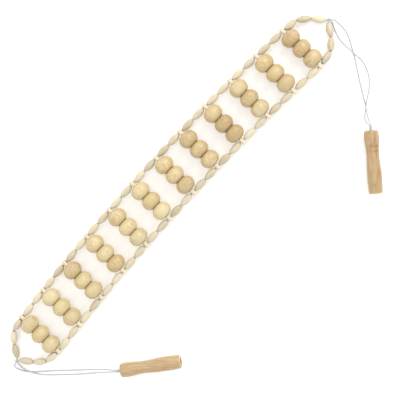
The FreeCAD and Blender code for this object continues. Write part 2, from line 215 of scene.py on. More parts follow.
def olive_solid(length):
    belly = bulged(length / 2 - EDGE_ROUNDING, OLIVE_END_RADIUS, OLIVE_RADIUS, OLIVE_RINGS)
    # (distance still to go to the belly, rise above the end face) along the rounded edge
    rounding = [(EDGE_ROUNDING, 0.0), (EDGE_ROUNDING * 0.9, 0.22), (EDGE_ROUNDING * 0.5, 0.42)]
    left = [(-length / 2 + EDGE_ROUNDING - inset, OLIVE_END_RADIUS - EDGE_ROUNDING + rise)
            for inset, rise in rounding]
    right = [(-place, radius) for place, radius in reversed(left)]
    return lathe(with_bore(left + belly + right, BEAD_BORE_LIP), BEAD_SIDES)


def linked(name, data):
    """A new object in the scene that holds a mesh, lamp or camera."""
    made = bpy.data.objects.new(name, data)
    bpy.context.scene.collection.objects.link(made)
    return made


def plain_object(name, points, faces):
    mesh = bpy.data.meshes.new(name)
    mesh.from_pydata(points, [], faces)
    made = linked(name, mesh)
    bpy.context.view_layer.update()
    return made


def cross_hole_cutter():
    """A rod across a cross bead, where the side chain's cord passes through it."""
    rod = bmesh.new()
    bmesh.ops.create_cone(rod, cap_ends=True, segments=CROSS_HOLE_SIDES, radius1=CROSS_HOLE_RADIUS,
                          radius2=CROSS_HOLE_RADIUS, depth=4 * CROSS_RADIUS,
                          matrix=Matrix.Rotation(math.radians(90), 4, "X"))
    mesh = bpy.data.meshes.new("cross_hole_cutter")
    rod.to_mesh(mesh)
    rod.free()
    return linked("cross_hole_cutter", mesh)


def cross_bead_solid():
    """A short dowel with a bore along it and a hole across it."""
    end, nick = -CROSS_HALF_LENGTH, 0.12
    rounding = [(end, CROSS_RADIUS - CROSS_ROUNDING), (end + nick, CROSS_RADIUS - nick),
                (end + CROSS_ROUNDING, CROSS_RADIUS)]
    middle = [(place, CROSS_RADIUS) for place in (-2.6, -1.3, 0, 1.3, 2.6)]
    far_rounding = [(-place, radius) for place, radius in reversed(rounding)]
    blank = lathe(with_bore(rounding + middle + far_rounding, BEAD_BORE_LIP), BEAD_SIDES)
    bead = plain_object("cross_bead_blank", *blank)
    cutter = cross_hole_cutter()
    drilling = bead.modifiers.new("drilling", "BOOLEAN")
    drilling.operation = "DIFFERENCE"
    drilling.solver = "EXACT"
    drilling.object = cutter
    drilled = bpy.data.meshes.new_from_object(bead.evaluated_get(bpy.context.evaluated_depsgraph_get()))
    points = [vertex.co.copy() for vertex in drilled.vertices]
    faces = [tuple(face.vertices) for face in drilled.polygons]
    for thing in (bead, cutter):
        bpy.data.objects.remove(thing)
    return points, faces


# ---------------------------------------------------------------- gathering solids into pieces


class Piece:
    """Points and faces of one piece in metres, with what its wood or cord needs to know at each point.

    grain is the place inside the log, in millimetres, with X along the fibres. tone is how light the wood
    is, and on rollers and handles it also holds painted shade that darkens towards the upper end. warmth
    is how yellow, the shade field how much painted shade darkens it, and mark how much of a knot shows.
    On cords, tone is how far out on its ply a point lies, which the cord's colour turns into painted shade.
    """

    def __init__(self, name):
        self.name = name
        self.points = []
        self.faces = []
        self.fields = {"tone": [], "warmth": [], "soil": [], "mark": []}
        self.grain = []

    def add(self, solid, place, grain, tone, warmth=0.5, soil=None, mark=None):
        """Adds a solid in millimetres. grain, mark and the painted shade are functions of the solid's own
        points.
        """
        points, faces = solid
        first = len(self.points)
        self.points += [place @ (point * MM) for point in points]
        self.faces += [tuple(first + corner for corner in face) for face in faces]
        self.grain += [grain(point) for point in points]
        self.fields["tone"] += tone if isinstance(tone, list) else [tone] * len(points)
        self.fields["warmth"] += [warmth] * len(points)
        self.fields["soil"] += [soil(point) if soil else 0.0 for point in points]
        self.fields["mark"] += [mark(point) if mark else 0.0 for point in points]

    def finish(self, material, slot, crease=35):
        """Makes the mesh object, shaded smooth but for edges sharper than crease degrees."""
        mesh = bpy.data.meshes.new(self.name)
        mesh.from_pydata(self.points, [], self.faces)
        shaped = bmesh.new()
        shaped.from_mesh(mesh)
        bmesh.ops.recalc_face_normals(shaped, faces=shaped.faces)
        shaped.to_mesh(mesh)
        shaped.free()
        mesh.polygons.foreach_set("use_smooth", [True] * len(mesh.polygons))
        mesh.set_sharp_from_angle(angle=math.radians(crease))
        for field, values in self.fields.items():
            mesh.attributes.new(field, "FLOAT", "POINT").data.foreach_set("value", values)
        flat = [number for vector in self.grain for number in vector]
        mesh.attributes.new("grain", "FLOAT_VECTOR", "POINT").data.foreach_set("vector", flat)
        mesh.materials.append(material)
        made = linked(self.name, mesh)
        return made


def log_place(dice, pith_distance):
    """A function that puts a bead's own points somewhere in a log, at a random turn and a slight slant."""
    turn = Matrix.Rotation(dice.uniform(0, 2 * math.pi), 3, "X")
    slant = Matrix.Rotation(math.radians(dice.uniform(-5, 5)), 3, "Z")
    away = Vector((dice.uniform(-400, 400), dice.uniform(*pith_distance), dice.uniform(-4, 4)))
    return lambda point: slant @ (turn @ point) + away


def uneven(solid, dice, depth):
    """A copy of a solid with the slight waviness of hand sanding, which leaves its bore as it is."""
    points, faces = solid
    shift = Vector((dice.uniform(-50, 50), dice.uniform(-50, 50), dice.uniform(-50, 50)))
    waves_per_mm = 0.16
    waved = []
    for point in points:
        outward = Vector((0, point.y, point.z))
        reach = min(1.0, max(0.0, outward.length - BORE_RADIUS) / 2)
        swell = depth * reach * noise.noise(point * waves_per_mm + shift)
        waved.append(point + outward.normalized() * swell)
    return waved, faces


def lying(start, end):
    """Places a bead's own X axis from start towards end, given in metres, with its middle halfway."""
    turn = (end - start).normalized().to_track_quat("X", "Z")
    return Matrix.Translation((start + end) / 2) @ turn.to_matrix().to_4x4()


# ---------------------------------------------------------------- where things lie, in metres


def node_centre(node):
    low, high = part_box(node)
    return (low + high) / 2


def cross_centre(row, side):
    return node_centre(f"roller_{row:02d}_middle") + Vector((0, side * CHAIN_OFFSET * MM, 0))


def chain_slots(start, end):
    """The two olives' (start, end) between neighbouring cross beads."""
    along = (end - start).normalized()
    inset = along * ((CROSS_RADIUS + BEAD_GAP) * MM)
    length = along * (CHAIN_OLIVE_LENGTH * MM)
    return [(start + inset, start + inset + length), (end - inset - length, end - inset)]


# room before and after each of an end loop's three olives, from the cross bead to the tip
LOOP_GAPS = [
    (CROSS_RADIUS + BEAD_GAP, LOOP_KINK_GAP / 2),
    (LOOP_KINK_GAP / 2, BEAD_GAP / 2),
    (BEAD_GAP / 2, BEAD_GAP / 2),
]


def end_row(end):
    return 1 if end == LOWER else ROW_COUNT


def loop_corners(end, side):
    """Centre line of one side of an end loop, from the end row's cross bead over its three olives."""
    corners = [cross_centre(end_row(end), side)]
    reaches = [(before + LOOP_OLIVE_LENGTH + after) * MM for before, after in LOOP_GAPS]
    slope = (ROLLER_RADIUS - OLIVE_RADIUS) * MM / (reaches[0] + reaches[1])
    falls = [reaches[0] * slope, reaches[1] * slope, 0]
    for turn, reach, fall in zip(LOOP_TURNS, reaches, falls):
        level = math.sqrt(reach**2 - fall**2)
        angle = math.radians(turn)
        move = Vector((end * level * math.cos(angle), -side * level * math.sin(angle), -fall))
        corners.append(corners[-1] + move)
    return corners


def joint_place(name):
    return Vector(JOINTS[name]["pos_m"])


def handle_direction(end):
    return Vector(JOINTS[f"handle_spin_{END_NAMES[end]}"]["axis"]).normalized()


# ---------------------------------------------------------------- cords


def between(first, first_time, second, second_time, time):
    """The point that a straight motion from first to second has reached, or would reach, at time."""
    span = second_time - first_time
    return first * ((second_time - time) / span) + second * ((time - first_time) / span)


def curved(points, steps=24):
    """Closely spaced points on a centripetal Catmull-Rom curve through points."""
    padded = [points[0] * 2 - points[1], *points, points[-1] * 2 - points[-2]]
    times = [0.0]
    for before, after in zip(padded, padded[1:]):
        times.append(times[-1] + math.sqrt((after - before).length))
    dense = []
    for index in range(1, len(padded) - 2):
        p0, p1, p2, p3 = padded[index - 1 : index + 3]
        t0, t1, t2, t3 = times[index - 1 : index + 3]
        for step in range(steps):
            t = t1 + (t2 - t1) * step / steps
            before = between(p0, t0, p1, t1, t)
            middle = between(p1, t1, p2, t2, t)
            after = between(p2, t2, p3, t3, t)
            early = between(before, t0, middle, t2, t)
            late = between(middle, t1, after, t3, t)
            dense.append(between(early, t1, late, t2, t))
    dense.append(points[-1].copy())
    return dense


def smooth_course(points, spacing):
    """Evenly spaced points on a smooth curve through points."""
    dense = curved(points)
    even, carried = [dense[0]], 0.0
    for before, after in zip(dense, dense[1:]):
        stretch = (after - before).length
        while carried + stretch >= spacing:
            share = (spacing - carried) / stretch
            before = before.lerp(after, share)
            stretch = (after - before).length
            even.append(before)
            carried = 0.0
        carried += stretch
    if (even[-1] - dense[-1]).length > spacing / 4:
        even.append(dense[-1])
    return even


def cord_solid(course, radius=CORD_RADIUS, sides=CORD_SIDES, pitch=TWIST_PITCH):
    """A twisted cord along a course in millimetres, and how far out on its ply each of its points lies."""
    points, faces, lie = [], [], []
    travelled = 0.0
    forward = (course[1] - course[0]).normalized()
    across = forward.orthogonal().normalized()
    for index, centre in enumerate(course):
        ahead = course[min(index + 1, len(course) - 1)] - course[max(index - 1, 0)]
        ahead.normalize()
        across = forward.rotation_difference(ahead) @ across
        forward = ahead
        if index:
            travelled += (centre - course[index - 1]).length
        beside = forward.cross(across)
        for step in range(sides):
            angle = 2 * math.pi * step / sides
            ply = 0.5 + 0.5 * math.cos(PLIES * angle)
            turned = angle + 2 * math.pi * travelled / pitch
            reach = radius * (1 - PLY_DEPTH + PLY_DEPTH * math.sqrt(ply))
            points.append(centre + (across * math.cos(turned) + beside * math.sin(turned)) * reach)
            lie.append(ply)
    for ring in range(len(course) - 1):
        for step in range(sides):
            after = (step + 1) % sides
            low, high = ring * sides, (ring + 1) * sides
            faces.append((low + step, low + after, high + after, high + step))
    faces.append(tuple(range(sides)))
    faces.append(tuple(reversed(range((len(course) - 1) * sides, len(course) * sides))))
    return (points, faces), lie


def add_cord(piece, course, **shape):
    """Adds a cord along a course of points in metres."""
    solid, lie = cord_solid([point / MM for point in course], **shape)
    piece.add(solid, Matrix.Identity(4), grain=lambda point: point, tone=lie)


def knot_course(centre, size, lean, start=0.35, steps=90):
    """The way of a cord through one overhand knot, a trefoil about centre, with size in millimetres."""
    course = []
    for step in range(steps + 1):
        t = start + (2 * math.pi - 2 * start) * step / steps
        across = math.sin(t) + 2 * math.sin(2 * t)
        up = math.cos(t) - 2 * math.cos(2 * t)
        over = -1.15 * math.sin(3 * t)
        course.append(centre + lean @ (Vector((across, up, over)) * size * MM))
    return course


# ---------------------------------------------------------------- materials

# grains per millimetre of each pattern in the wood, along and across its fibres
DRIFT_GRAIN = (0.022, 0.07, 0.07)
FIBRE_GRAIN = (0.16, 3.2, 3.2)
STREAK_GRAIN = (0.04, 0.6, 0.6)
BLOTCH_GRAIN = (0.06, 0.13, 0.13)
DASH_GRAIN = (0.55, 6.0, 6.0)
FRECKLE_GRAIN = (0.55, 0.5, 0.5)
# grains per millimetre in the cord
FLUFF_GRAIN = (5.0, 5.0, 5.0)
STAIN_GRAIN = (0.09, 0.09, 0.09)

# how far the rings stray sideways from true circles, in millimetres
RING_DRIFT = (0, 9, 9)
# how much each pattern changes the wood's lightness, which runs from 0 to 1
STREAK_DEPTH = 0.9
BLOTCH_DEPTH = 0.6

DASH_TINT = (0.62, 0.5, 0.36)
PAINTED_SHADE_TINT = (0.5, 0.36, 0.22)
KNOT_COLOUR = (0.31, 0.145, 0.06)
# the hollow colour is painted shade between a cord's plies, the crest colour the plies' tops
CORD_HOLLOW_SHADE = (0.35, 0.35, 0.37)
CORD_CREST = (0.59, 0.59, 0.61)
CORD_STAIN = (0.84, 0.82, 0.78)


class Web:
    """Short calls for building one material's node tree."""

    def __init__(self, name):
        self.material = bpy.data.materials.new(name)
        self.material.use_nodes = True
        self.tree = self.material.node_tree
        self.skin = self.tree.nodes["Principled BSDF"]

    def feed(self, socket, value):
        if isinstance(value, bpy.types.NodeSocket):
            self.tree.links.new(value, socket)
        else:
            socket.default_value = value

    def field(self, name):
        node = self.tree.nodes.new("ShaderNodeAttribute")
        node.attribute_name = name
        return node.outputs["Fac"]

    def place(self, name):
        node = self.tree.nodes.new("ShaderNodeAttribute")
        node.attribute_name = name
        return node.outputs["Vector"]

    def math(self, operation, a, b=0.0, clamp=False):
        node = self.tree.nodes.new("ShaderNodeMath")
        node.operation = operation
        node.use_clamp = clamp
        self.feed(node.inputs[0], a)
        self.feed(node.inputs[1], b)
        return node.outputs[0]

    def vector(self, operation, a, b):
        node = self.tree.nodes.new("ShaderNodeVectorMath")
        node.operation = operation
        self.feed(node.inputs[0], a)
        self.feed(node.inputs[1], b)
        return node.outputs["Value"] if operation == "LENGTH" else node.outputs["Vector"]

    def noise_node(self, place, grain, detail=2.0, roughness=0.5):
        node = self.tree.nodes.new("ShaderNodeTexNoise")
        node.inputs["Scale"].default_value = 1.0
        node.inputs["Detail"].default_value = detail
        node.inputs["Roughness"].default_value = roughness
        self.feed(node.inputs["Vector"], self.vector("MULTIPLY", place, grain))
        return node

    def noise(self, place, grain, **shape):
        """Noise from 0 to 1, with grain giving its grains per unit of place along each axis."""
        return self.noise_node(place, grain, **shape).outputs["Fac"]

    def ramp(self, factor, stops):
        """Greys at places from 0 to 1."""
        node = self.tree.nodes.new("ShaderNodeValToRGB")
        elements = node.color_ramp.elements
        while len(elements) < len(stops):
            elements.new(0.5)
        for element, (place, grey) in zip(elements, stops):
            element.position = place
            element.color = (grey, grey, grey, 1.0)
        self.feed(node.inputs["Fac"], factor)
        return node.outputs["Color"]

    def mix(self, factor, a, b, blend="MIX"):
        node = self.tree.nodes.new("ShaderNodeMix")
        node.data_type = "RGBA"
        node.blend_type = blend
        node.clamp_factor = True
        self.feed(node.inputs["Factor"], factor)
        for socket, value in ((node.inputs[6], a), (node.inputs[7], b)):
            self.feed(socket, (*value, 1.0) if isinstance(value, tuple) and len(value) == 3 else value)
        return node.outputs[2]

    def bump(self, height, strength, distance):
        node = self.tree.nodes.new("ShaderNodeBump")
        node.inputs["Strength"].default_value = strength
        node.inputs["Distance"].default_value = distance
        self.feed(node.inputs["Height"], height)
        self.feed(self.skin.inputs["Normal"], node.outputs["Normal"])


def swing(web, value, amount):
    """value, which runs from 0 to 1, as a change from -amount / 2 to +amount / 2."""
    return web.math("MULTIPLY", web.math("SUBTRACT", value, 0.5), amount)


def growth_rings(web, grain, ring_width):
    """Rings about the pith, where each one is pale at first and ends in a thin dark line."""
    drift = web.noise_node(grain, DRIFT_GRAIN).outputs["Color"]
    wander = web.vector("MULTIPLY", web.vector("SUBTRACT", drift, (0.5, 0.5, 0.5)), RING_DRIFT)
    ringed = web.vector("ADD", grain, wander)
    from_pith = web.vector("LENGTH", web.vector("MULTIPLY", ringed, (0, 1, 1)), (0, 0, 0))
    growth = web.math("FRACT", web.math("DIVIDE", from_pith, ring_width))
    return web.ramp(growth, [(0.0, 0.72), (0.12, 0.95), (0.55, 0.75), (0.86, 0.1), (1.0, 0.72)])


def knot_mark(web, grain, colour):
    """Reddish-brown freckles where the mark field is set."""
    freckles = web.noise(grain, FRECKLE_GRAIN, detail=3.0, roughness=0.65)
    freckles = web.ramp(freckles, [(0.45, 0.0), (0.53, 1.0)])
    cover = web.math("ADD", web.math("MULTIPLY", freckles, 0.8), 0.2)
    return web.mix(web.math("MULTIPLY", cover, web.field("mark")), colour, KNOT_COLOUR)


def wood(name, dark, light, warm, ring_width, ring_depth, fibre_depth, fleck, roughness, coat):
    """Turned and sanded wood: growth rings, fibres, flecks, blotches, and painted shade in the crevices and
    where parts meet.
    """
    web = Web(name)
    grain = web.place("grain")
    rings = growth_rings(web, grain, ring_width)
    fibres = web.noise(grain, FIBRE_GRAIN, detail=3.0, roughness=0.6)
    streaks = web.noise(grain, STREAK_GRAIN, detail=3.0)
    blotches = web.noise(grain, BLOTCH_GRAIN, detail=3.0)
    dashes = web.ramp(web.noise(grain, DASH_GRAIN, detail=1.0), [(0.62, 0.0), (0.72, 1.0)])

    lightness = web.math("ADD", web.field("tone"), swing(web, rings, ring_depth))
    for value, amount in ((fibres, fibre_depth), (streaks, STREAK_DEPTH), (blotches, BLOTCH_DEPTH)):
        lightness = web.math("ADD", lightness, swing(web, value, amount))
    colour = web.mix(lightness, dark, light)
    colour = web.mix(web.math("MULTIPLY", web.field("warmth"), 0.55), colour, warm, "MULTIPLY")
    colour = web.mix(web.math("MULTIPLY", dashes, fleck), colour, DASH_TINT, "MULTIPLY")
    colour = knot_mark(web, grain, colour)
    # painted shade in crevices, round bores and where parts lie against each other
    colour = web.mix(web.math("MULTIPLY", web.field("soil"), 0.75), colour, PAINTED_SHADE_TINT, "MULTIPLY")
    web.feed(web.skin.inputs["Base Color"], colour)

    dullness = web.math("ADD", roughness, swing(web, fibres, 0.16))
    dullness = web.math("ADD", dullness, web.math("MULTIPLY", web.field("soil"), 0.25))
    web.feed(web.skin.inputs["Roughness"], dullness)
    web.skin.inputs["Coat Weight"].default_value = coat
    web.skin.inputs["Coat Roughness"].default_value = 0.32
    relief = web.math("SUBTRACT", web.math("ADD", fibres, web.math("MULTIPLY", rings, 0.5)), dashes)
    web.bump(relief, strength=0.25, distance=0.00006)
    return web.material


def cord_cotton():
    """White twisted cord with fine fibres and painted shade between its plies."""
    web = Web("white_cord")
    place = web.place("grain")
    fluff = web.noise(place, FLUFF_GRAIN, detail=3.0)
    stains = web.noise(place, STAIN_GRAIN)
    shade = web.math("ADD", web.field("tone"), swing(web, fluff, 0.5), clamp=True)
    # painted shade in the hollows between the plies
    colour = web.mix(shade, CORD_HOLLOW_SHADE, CORD_CREST)
    colour = web.mix(web.math("MULTIPLY", stains, 0.3), colour, CORD_STAIN, "MULTIPLY")
    web.feed(web.skin.inputs["Base Color"], colour)
    web.skin.inputs["Roughness"].default_value = 0.8
    web.skin.inputs["Sheen Weight"].default_value = 0.25
    web.bump(fluff, strength=0.4, distance=0.00008)
    return web.material


ROLLER_WOOD = wood(
    "roller_wood", dark=(0.395, 0.27, 0.122), light=(0.64, 0.552, 0.328), warm=(1.0, 0.91, 0.76),
    ring_width=1.9, ring_depth=0.5, fibre_depth=1.15, fleck=0.5, roughness=0.42, coat=0.12,
)
SIDE_WOOD = wood(
    "side_bead_wood", dark=(0.437, 0.372, 0.26), light=(0.68, 0.622, 0.468), warm=(1.0, 0.93, 0.8),
    ring_width=1.6, ring_depth=0.3, fibre_depth=0.7, fleck=0.45, roughness=0.5, coat=0.05,
)
HANDLE_WOOD = wood(
    "handle_wood", dark=(0.335, 0.213, 0.098), light=(0.565, 0.437, 0.252), warm=(1.0, 0.92, 0.8),
    ring_width=3.0, ring_depth=0.38, fibre_depth=0.5, fleck=0.4, roughness=0.45, coat=0.1,
)
CORD = cord_cotton()


# ---------------------------------------------------------------- rollers and beads


def shade_near_bore(shaded_end=None):
    """Painted shade round an olive's bore, and on its end that lies against a cross bead, at the X place
    given, if one is.
    """
    bore_reach, end_reach = 1.3, 1.4

    def soil(point):
        radius = math.hypot(point.y, point.z)
        ring = max(0.0, 1 - max(0.0, radius - BORE_RADIUS) / bore_reach)
        end_shade = max(0.0, 1 - abs(point.x - shaded_end) / end_reach) if shaded_end is not None else 0.0
        return max(ring, end_shade)

    return soil


def shade_beside_olives(point):
    """Painted shade on a cross bead where an olive's end lies against it on either side."""
    unshaded_within, strength = 2.3, 1.3
    facing = max(0.0, (abs(point.y) - unshaded_within) / (CROSS_RADIUS - unshaded_within))
    level = max(0.0, 1 - (abs(point.x) / OLIVE_END_RADIUS) ** 4)
    return min(1.0, strength * facing * level)


def shade_towards_faces(point):
    """Painted shade on a roller towards the end faces that lie against its neighbours."""
    unshaded_within, strength = 6.5, 0.75
    closeness = max(0.0, (abs(point.x) - unshaded_within) / (ROLLER_HALF_WIDTH - unshaded_within))
    return strength * closeness**4


ROLLER = roller_solid()
CHAIN_OLIVE = olive_solid(CHAIN_OLIVE_LENGTH)
LOOP_OLIVE = olive_solid(LOOP_OLIVE_LENGTH)
CROSS_BEAD = cross_bead_solid()
ROW_TURN = Matrix.Rotation(math.radians(90), 4, "Z")


def add_roller(row, side_name, tone):
    node = f"roller_{row:02d}_{side_name}"
    dice = random.Random(node)
    piece = Piece(f"{node}_wood")
    solid = uneven(ROLLER, dice, BEAD_UNEVENNESS)
    place = Matrix.Translation(node_centre(node)) @ ROW_TURN
    grain = log_place(dice, ROLLER_PITH)
    lightness = tone * ROLLER_TONE_SPAN + dice.uniform(*ROLLER_TONE_CHANCE)
    warmth = dice.uniform(*ROLLER_WARMTHS)
    piece.add(solid, place, grain, lightness, warmth=warmth, soil=shade_towards_faces)
    made = piece.finish(ROLLER_WOOD, "roller_wood")
    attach(made, f"{node}_body")
    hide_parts(node)


def add_olive(piece, solid, start, end, dice, meets_cross_bead=True):
    """An olive from start to end, whose start may lie against a cross bead."""
    # the end that lies against a cross bead gets painted shade, as does the bore
    shaded_end = min(point.x for point in solid[0]) if meets_cross_bead else None
    waved = uneven(solid, dice, BEAD_UNEVENNESS)
    grain = log_place(dice, OLIVE_PITH)
    lightness = dice.uniform(*OLIVE_TONES)
    warmth = dice.uniform(*OLIVE_WARMTHS)
    piece.add(waved, lying(start, end), grain, lightness, warmth=warmth, soil=shade_near_bore(shaded_end))


def cross_place(row, side):
    """Along the row; in an end row the cross hole also dips halfway towards the end loop's slope."""
    turn = ROW_TURN
    for end in (LOWER, UPPER):
        if row == end_row(end):
            start, finish = loop_corners(end, side)[:2]
            dip = math.asin((start.z - finish.z) / (finish - start).length) / 2
            turn = Matrix.Rotation(end * dip, 4, "Y") @ ROW_TURN
    return Matrix.Translation(cross_centre(row, side)) @ turn


def add_side_beads(row):
    """The row's two cross beads and its halves of the two side chains."""
    node = f"side_beads_row_{row:02d}"
    dice = random.Random(node)
    piece = Piece(f"{node}_wood")
    for side in (LEFT, RIGHT):
        grain = log_place(dice, OLIVE_PITH)
        lightness = dice.uniform(*CROSS_TONES)
        warmth = dice.uniform(*CROSS_WARMTHS)
        piece.add(CROSS_BEAD, cross_place(row, side), grain, lightness, warmth=warmth, soil=shade_beside_olives)
        for neighbour in (row - 1, row + 1):
            if neighbour in ROWS:
                start, end = chain_slots(cross_centre(row, side), cross_centre(neighbour, side))[0]
                add_olive(piece, CHAIN_OLIVE, start, end, dice)
    made = piece.finish(SIDE_WOOD, "side_bead_wood")
    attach(made, f"row_{row:02d}")
    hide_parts(node)


def add_loop_beads(end):
    name = END_NAMES[end]
    dice = random.Random(f"{name} loop")
    piece = Piece(f"{name}_loop_beads_wood")
    for side in (LEFT, RIGHT):
        corners = loop_corners(end, side)
        for start, finish, gaps in zip(corners, corners[1:], LOOP_GAPS):
            along = (finish - start).normalized()
            first = start + along * (gaps[0] * MM)
            last = first + along * (LOOP_OLIVE_LENGTH * MM)
            add_olive(piece, LOOP_OLIVE, first, last, dice, meets_cross_bead=start == corners[0])
    made = piece.finish(SIDE_WOOD, "side_bead_wood")
    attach(made, f"{name}_loop")
    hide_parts(f"{name}_loop_beads")


# ---------------------------------------------------------------- lacing


def straight(start, end, spacing):
    count = max(2, math.ceil((end - start).length / (spacing * MM)))
    return [start.lerp(end, step / count) for step in range(count + 1)]


def add_row_cords(row):
    """The two cords inside a row's bores."""
    piece = Piece(f"row_cords_{row:02d}")
    for lift in (LACING_LIFT, -LACING_LIFT):
        raised = Vector((0, 0, lift * MM))
        ends = [cross_centre(row, side) + raised for side in (RIGHT, LEFT)]
        add_cord(piece, straight(*ends, 2.0), sides=HIDDEN_CORD_SIDES)
    made = piece.finish(CORD, "cord")
    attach(made, f"row_{row:02d}")
    return made


def add_chain_cords(row):
    """The cords in both side chains from this row to the next."""
    piece = Piece(f"chain_cords_{row:02d}_{row + 1:02d}")
    for side in (LEFT, RIGHT):
        course = straight(cross_centre(row, side), cross_centre(row + 1, side), 0.9)
        add_cord(piece, course, sides=HIDDEN_CORD_SIDES)
    made = piece.finish(CORD, "cord")
    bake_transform(made)


def add_loop_cords(end):
    """The cord inside an end loop, from both cross beads to the knot at its tip."""
    name = END_NAMES[end]
    knot = joint_place(f"cord_swing_{name}")
    piece = Piece(f"{name}_loop_cords")
    for side in (LEFT, RIGHT):
        course = loop_corners(end, side)
        tip = knot + (course[-1] - knot) * 0.35
        add_cord(piece, smooth_course([*course, tip], 0.6 * MM), sides=HIDDEN_CORD_SIDES)
    made = piece.finish(CORD, "cord")
    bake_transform(made)


def add_apex_knot(end):
    """The knot at an end loop's tip, drawn as two overhand knots through each other."""
    name = END_NAMES[end]
    dice = random.Random(f"{name} apex")
    knot = joint_place(f"cord_swing_{name}")
    piece = Piece(f"{name}_apex_knot_cord")
    for tilt in (25, 115):
        lean = Matrix.Rotation(math.radians(tilt), 3, "Z") @ Matrix.Rotation(math.radians(tilt), 3, "X")
        size = dice.uniform(0.56, 0.62)
        add_cord(piece, knot_course(knot, size, lean), sides=KNOT_SIDES, pitch=KNOT_PITCH)
    made = piece.finish(CORD, "cord")
    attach(made, f"{name}_apex")
    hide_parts(f"{name}_apex_knot")


def strand_course(end, number):
    """Way of one loose strand from its knot to deep inside the handle."""
    name = END_NAMES[end]
    knot = joint_place(f"cord_swing_{name}")
    mouth = joint_place(f"handle_spin_{name}")
    inward = handle_direction(end)
    across = Vector((-inward.y, inward.x, 0))
    line = Vector((mouth.x - knot.x, mouth.y - knot.y, 0))
    left = Vector((-line.y, line.x, 0)).normalized()
    ground = Vector((knot.x, knot.y, 0))
    passed = [ground + line * share + left * (sideways * MM) + Vector((0, 0, height * MM))
              for share, sideways, height in STRAND_WAYS[end][number]]
    beside = across * ((0.5 - number) * STRAND_SPACING * MM)
    places_inside = (-STRAND_LEAD, 0, 8, 24, 44, STOP_KNOT_PLACE)
    inside = [mouth + inward * (place * MM) + beside for place in places_inside]
    in_knot = knot.lerp(passed[0], 0.2)
    return smooth_course([in_knot, *passed, *inside], 0.45 * MM)


def add_strands(end):
    """Both loose strands, kept above the table."""
    name = END_NAMES[end]
    lowest = (STRAND_RADIUS + 0.05) * MM
    piece = Piece(f"{name}_handle_cord_strands")
    for number in range(len(STRAND_WAYS[end])):
        course = [Vector((p.x, p.y, max(p.z, lowest))) for p in strand_course(end, number)]
        add_cord(piece, course, radius=STRAND_RADIUS)
    made = piece.finish(CORD, "cord")
    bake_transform(made)
    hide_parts(f"{name}_handle_cord")


def add_stop_knot(end):
    """The knot that holds the cord in the handle, with its two short tails."""
    name = END_NAMES[end]
    mouth = joint_place(f"handle_spin_{name}")
    inward = handle_direction(end)
    piece = Piece(f"{name}_stop_knot_cord")
    centre = mouth + inward * ((STOP_KNOT_PLACE + 1.2) * MM)
    facing = inward.to_track_quat("X", "Z").to_matrix()
    flat = Matrix.Rotation(math.radians(70), 3, "Y")
    for tilt in (20, 110):
        lean = facing @ Matrix.Rotation(math.radians(tilt), 3, "X") @ flat
        course = knot_course(centre, STOP_KNOT_SIZE, lean)
        add_cord(piece, course, radius=STOP_KNOT_CORD_RADIUS, sides=KNOT_SIDES, pitch=KNOT_PITCH)
    for sideways in (-1.2, 1.2):
        tail = centre + facing @ Vector((3.0, sideways, 0.4)) * MM
        tip = tail + facing @ Vector((4.0, sideways, -1.2)) * MM
        add_cord(piece, smooth_course([centre, tail, tip], 0.5 * MM))
    made = piece.finish(CORD, "cord")
    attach(made, f"{name}_cord_end")
    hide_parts(f"{name}_stop_knot")


# ---------------------------------------------------------------- handles


def handle_solid():
    """A turned grip: rounded mouth with a cord hole, bulb, waist, swell, and a wide bore at the far end."""
    curve = smooth_course([Vector((place, radius, 0)) for place, radius in HANDLE_OUTLINE], 0.7)
    far_edge = HANDLE_LENGTH - FAR_EDGE_EASE
    outside = [(p.x, p.y) for p in curve if HANDLE_ROUNDING < p.x < far_edge]
    mouth_radius, end_radius = HANDLE_OUTLINE[0][1], HANDLE_OUTLINE[-1][1]
    # the bulb already swells a little over the length of the mouth's rounding
    swell, steps = 0.15, 8
    rounding = []
    for step in range(steps, -1, -1):
        angle = math.radians(90 * step / steps)
        place = HANDLE_ROUNDING * (1 - math.sin(angle))
        rounding.append((place, mouth_radius + swell - HANDLE_ROUNDING * (1 - math.cos(angle))))
    face = [(0, radius) for radius in (2.6, 4.5, 6.5)]
    far_rim = [(far_edge, end_radius), (HANDLE_LENGTH - 0.2, end_radius - 0.16),
               (HANDLE_LENGTH, end_radius - FAR_EDGE_EASE)]
    far_face = [(HANDLE_LENGTH, radius) for radius in (7.4, 6.4, CAVITY_RADIUS + 0.5)]
    far_face.append((HANDLE_LENGTH - 0.45, CAVITY_RADIUS))
    cavity = [(HANDLE_LENGTH - depth, CAVITY_RADIUS) for depth in (4, 9, 14, 19, CAVITY_DEPTH - 0.8)]
    cavity.append((HANDLE_LENGTH - CAVITY_DEPTH, CAVITY_RADIUS - 1.4))
    hole_start = HANDLE_LENGTH - CAVITY_DEPTH - 0.2
    hole = [(place, CORD_HOLE_RADIUS) for place in (hole_start, 45, 30, 15, 0.5)]
    return lathe(face + rounding + outside + far_rim + far_face + cavity + hole, HANDLE_SIDES)


def handle_painted_shade(point):
    """Painted shade round the cord hole at the mouth and all through the far bore."""
    radius = math.hypot(point.y, point.z)
    if point.x < 3:
        return max(0.0, 1 - abs(radius - CORD_HOLE_RADIUS) / 1.6)
    return 0.9 if radius <= CAVITY_RADIUS + 0.01 else 0.0


def handle_tones(points, tone):
    """The wood is a little paler where the far edge was cut and eased."""
    paler, reach = 0.6, 2.2
    return [tone + paler * max(0.0, 1 - (HANDLE_LENGTH - point.x) / reach) for point in points]


# each row of freckles: (strength, place from the mouth, half width), and last the tint that joins them
RING_BANDS = [(1.5, 20.6, 1.9), (1.2, 26.4, 2.1), (0.5, 25.0, 6.0)]


